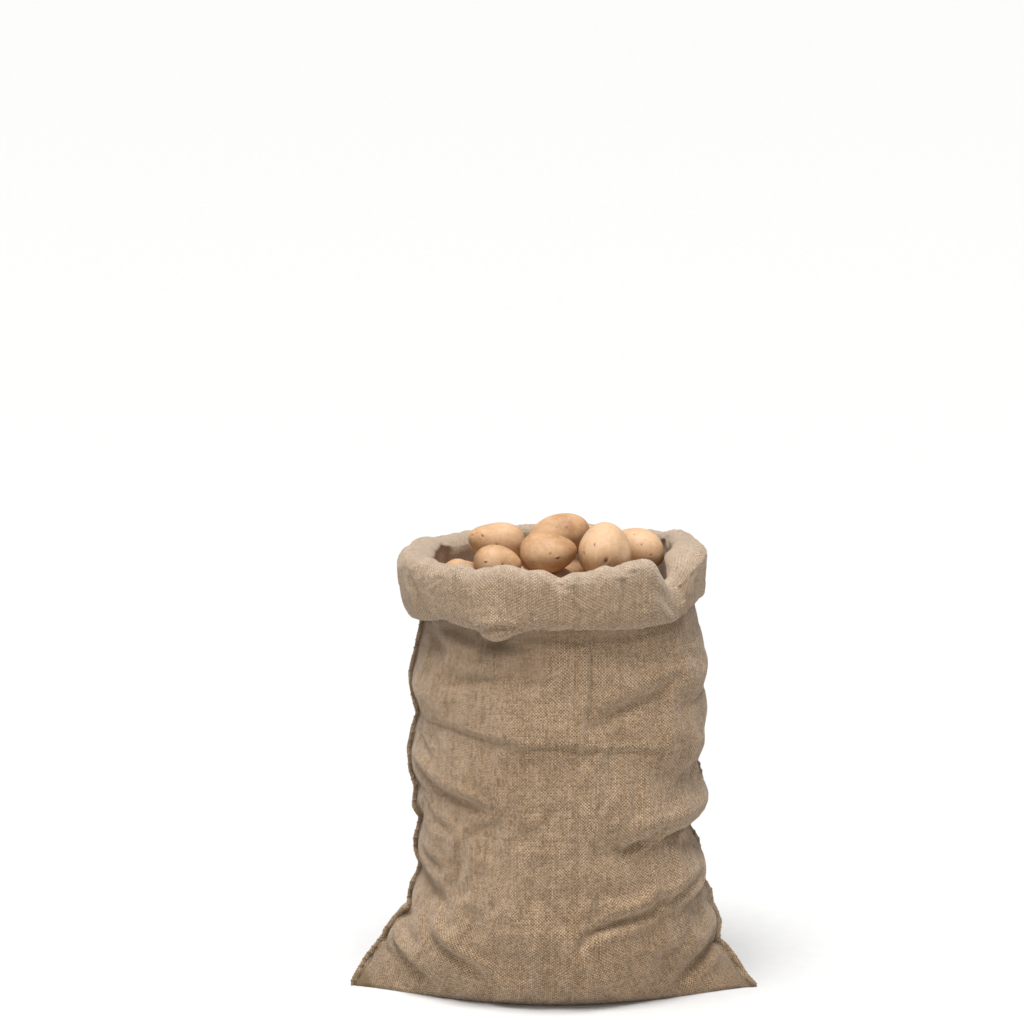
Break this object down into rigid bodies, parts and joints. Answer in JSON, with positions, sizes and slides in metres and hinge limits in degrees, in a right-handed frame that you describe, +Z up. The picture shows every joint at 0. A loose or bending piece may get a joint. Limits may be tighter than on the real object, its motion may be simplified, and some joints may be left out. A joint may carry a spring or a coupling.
{
  "type": "hessian sack filled with potatoes",
  "caption": "Standing hessian sack filled with potatoes, its mouth rolled outward into a deep soft cuff, with oversewn side seams and two flat bottom corners.",
  "frame": {"origin": "on the floor, under the middle of the sack's flat base", "axes": "+Z up; -Y is the front; the sewn sides are at -X (left) and +X (right)"},
  "size_m": [0.6378, 0.3704, 0.7444],
  "materials": {
    "hessian": "coarse plain weave",
    "seam_yarn": "twisted jute yarn",
    "potato_skin": "smooth, slightly waxy skin"
  },
  "bodies": {
    "root": {"sack": "hessian", "side_seam_left": "seam_yarn", "side_seam_right": "seam_yarn", "potato_heap": "potato_skin", "potato_01": "potato_skin", "potato_02": "potato_skin", "potato_03": "potato_skin", "potato_04": "potato_skin", "potato_05": "potato_skin", "potato_06": "potato_skin", "potato_07": "potato_skin", "potato_08": "potato_skin", "potato_09": "potato_skin", "potato_10": "potato_skin", "potato_11": "potato_skin", "potato_12": "potato_skin", "potato_13": "potato_skin", "potato_14": "potato_skin", "potato_15": "potato_skin", "potato_16": "potato_skin", "potato_17": "potato_skin", "potato_18": "potato_skin", "potato_19": "potato_skin", "potato_20": "potato_skin", "potato_21": "potato_skin", "potato_22": "potato_skin", "potato_23": "potato_skin"}
  },
  "joints": []
}
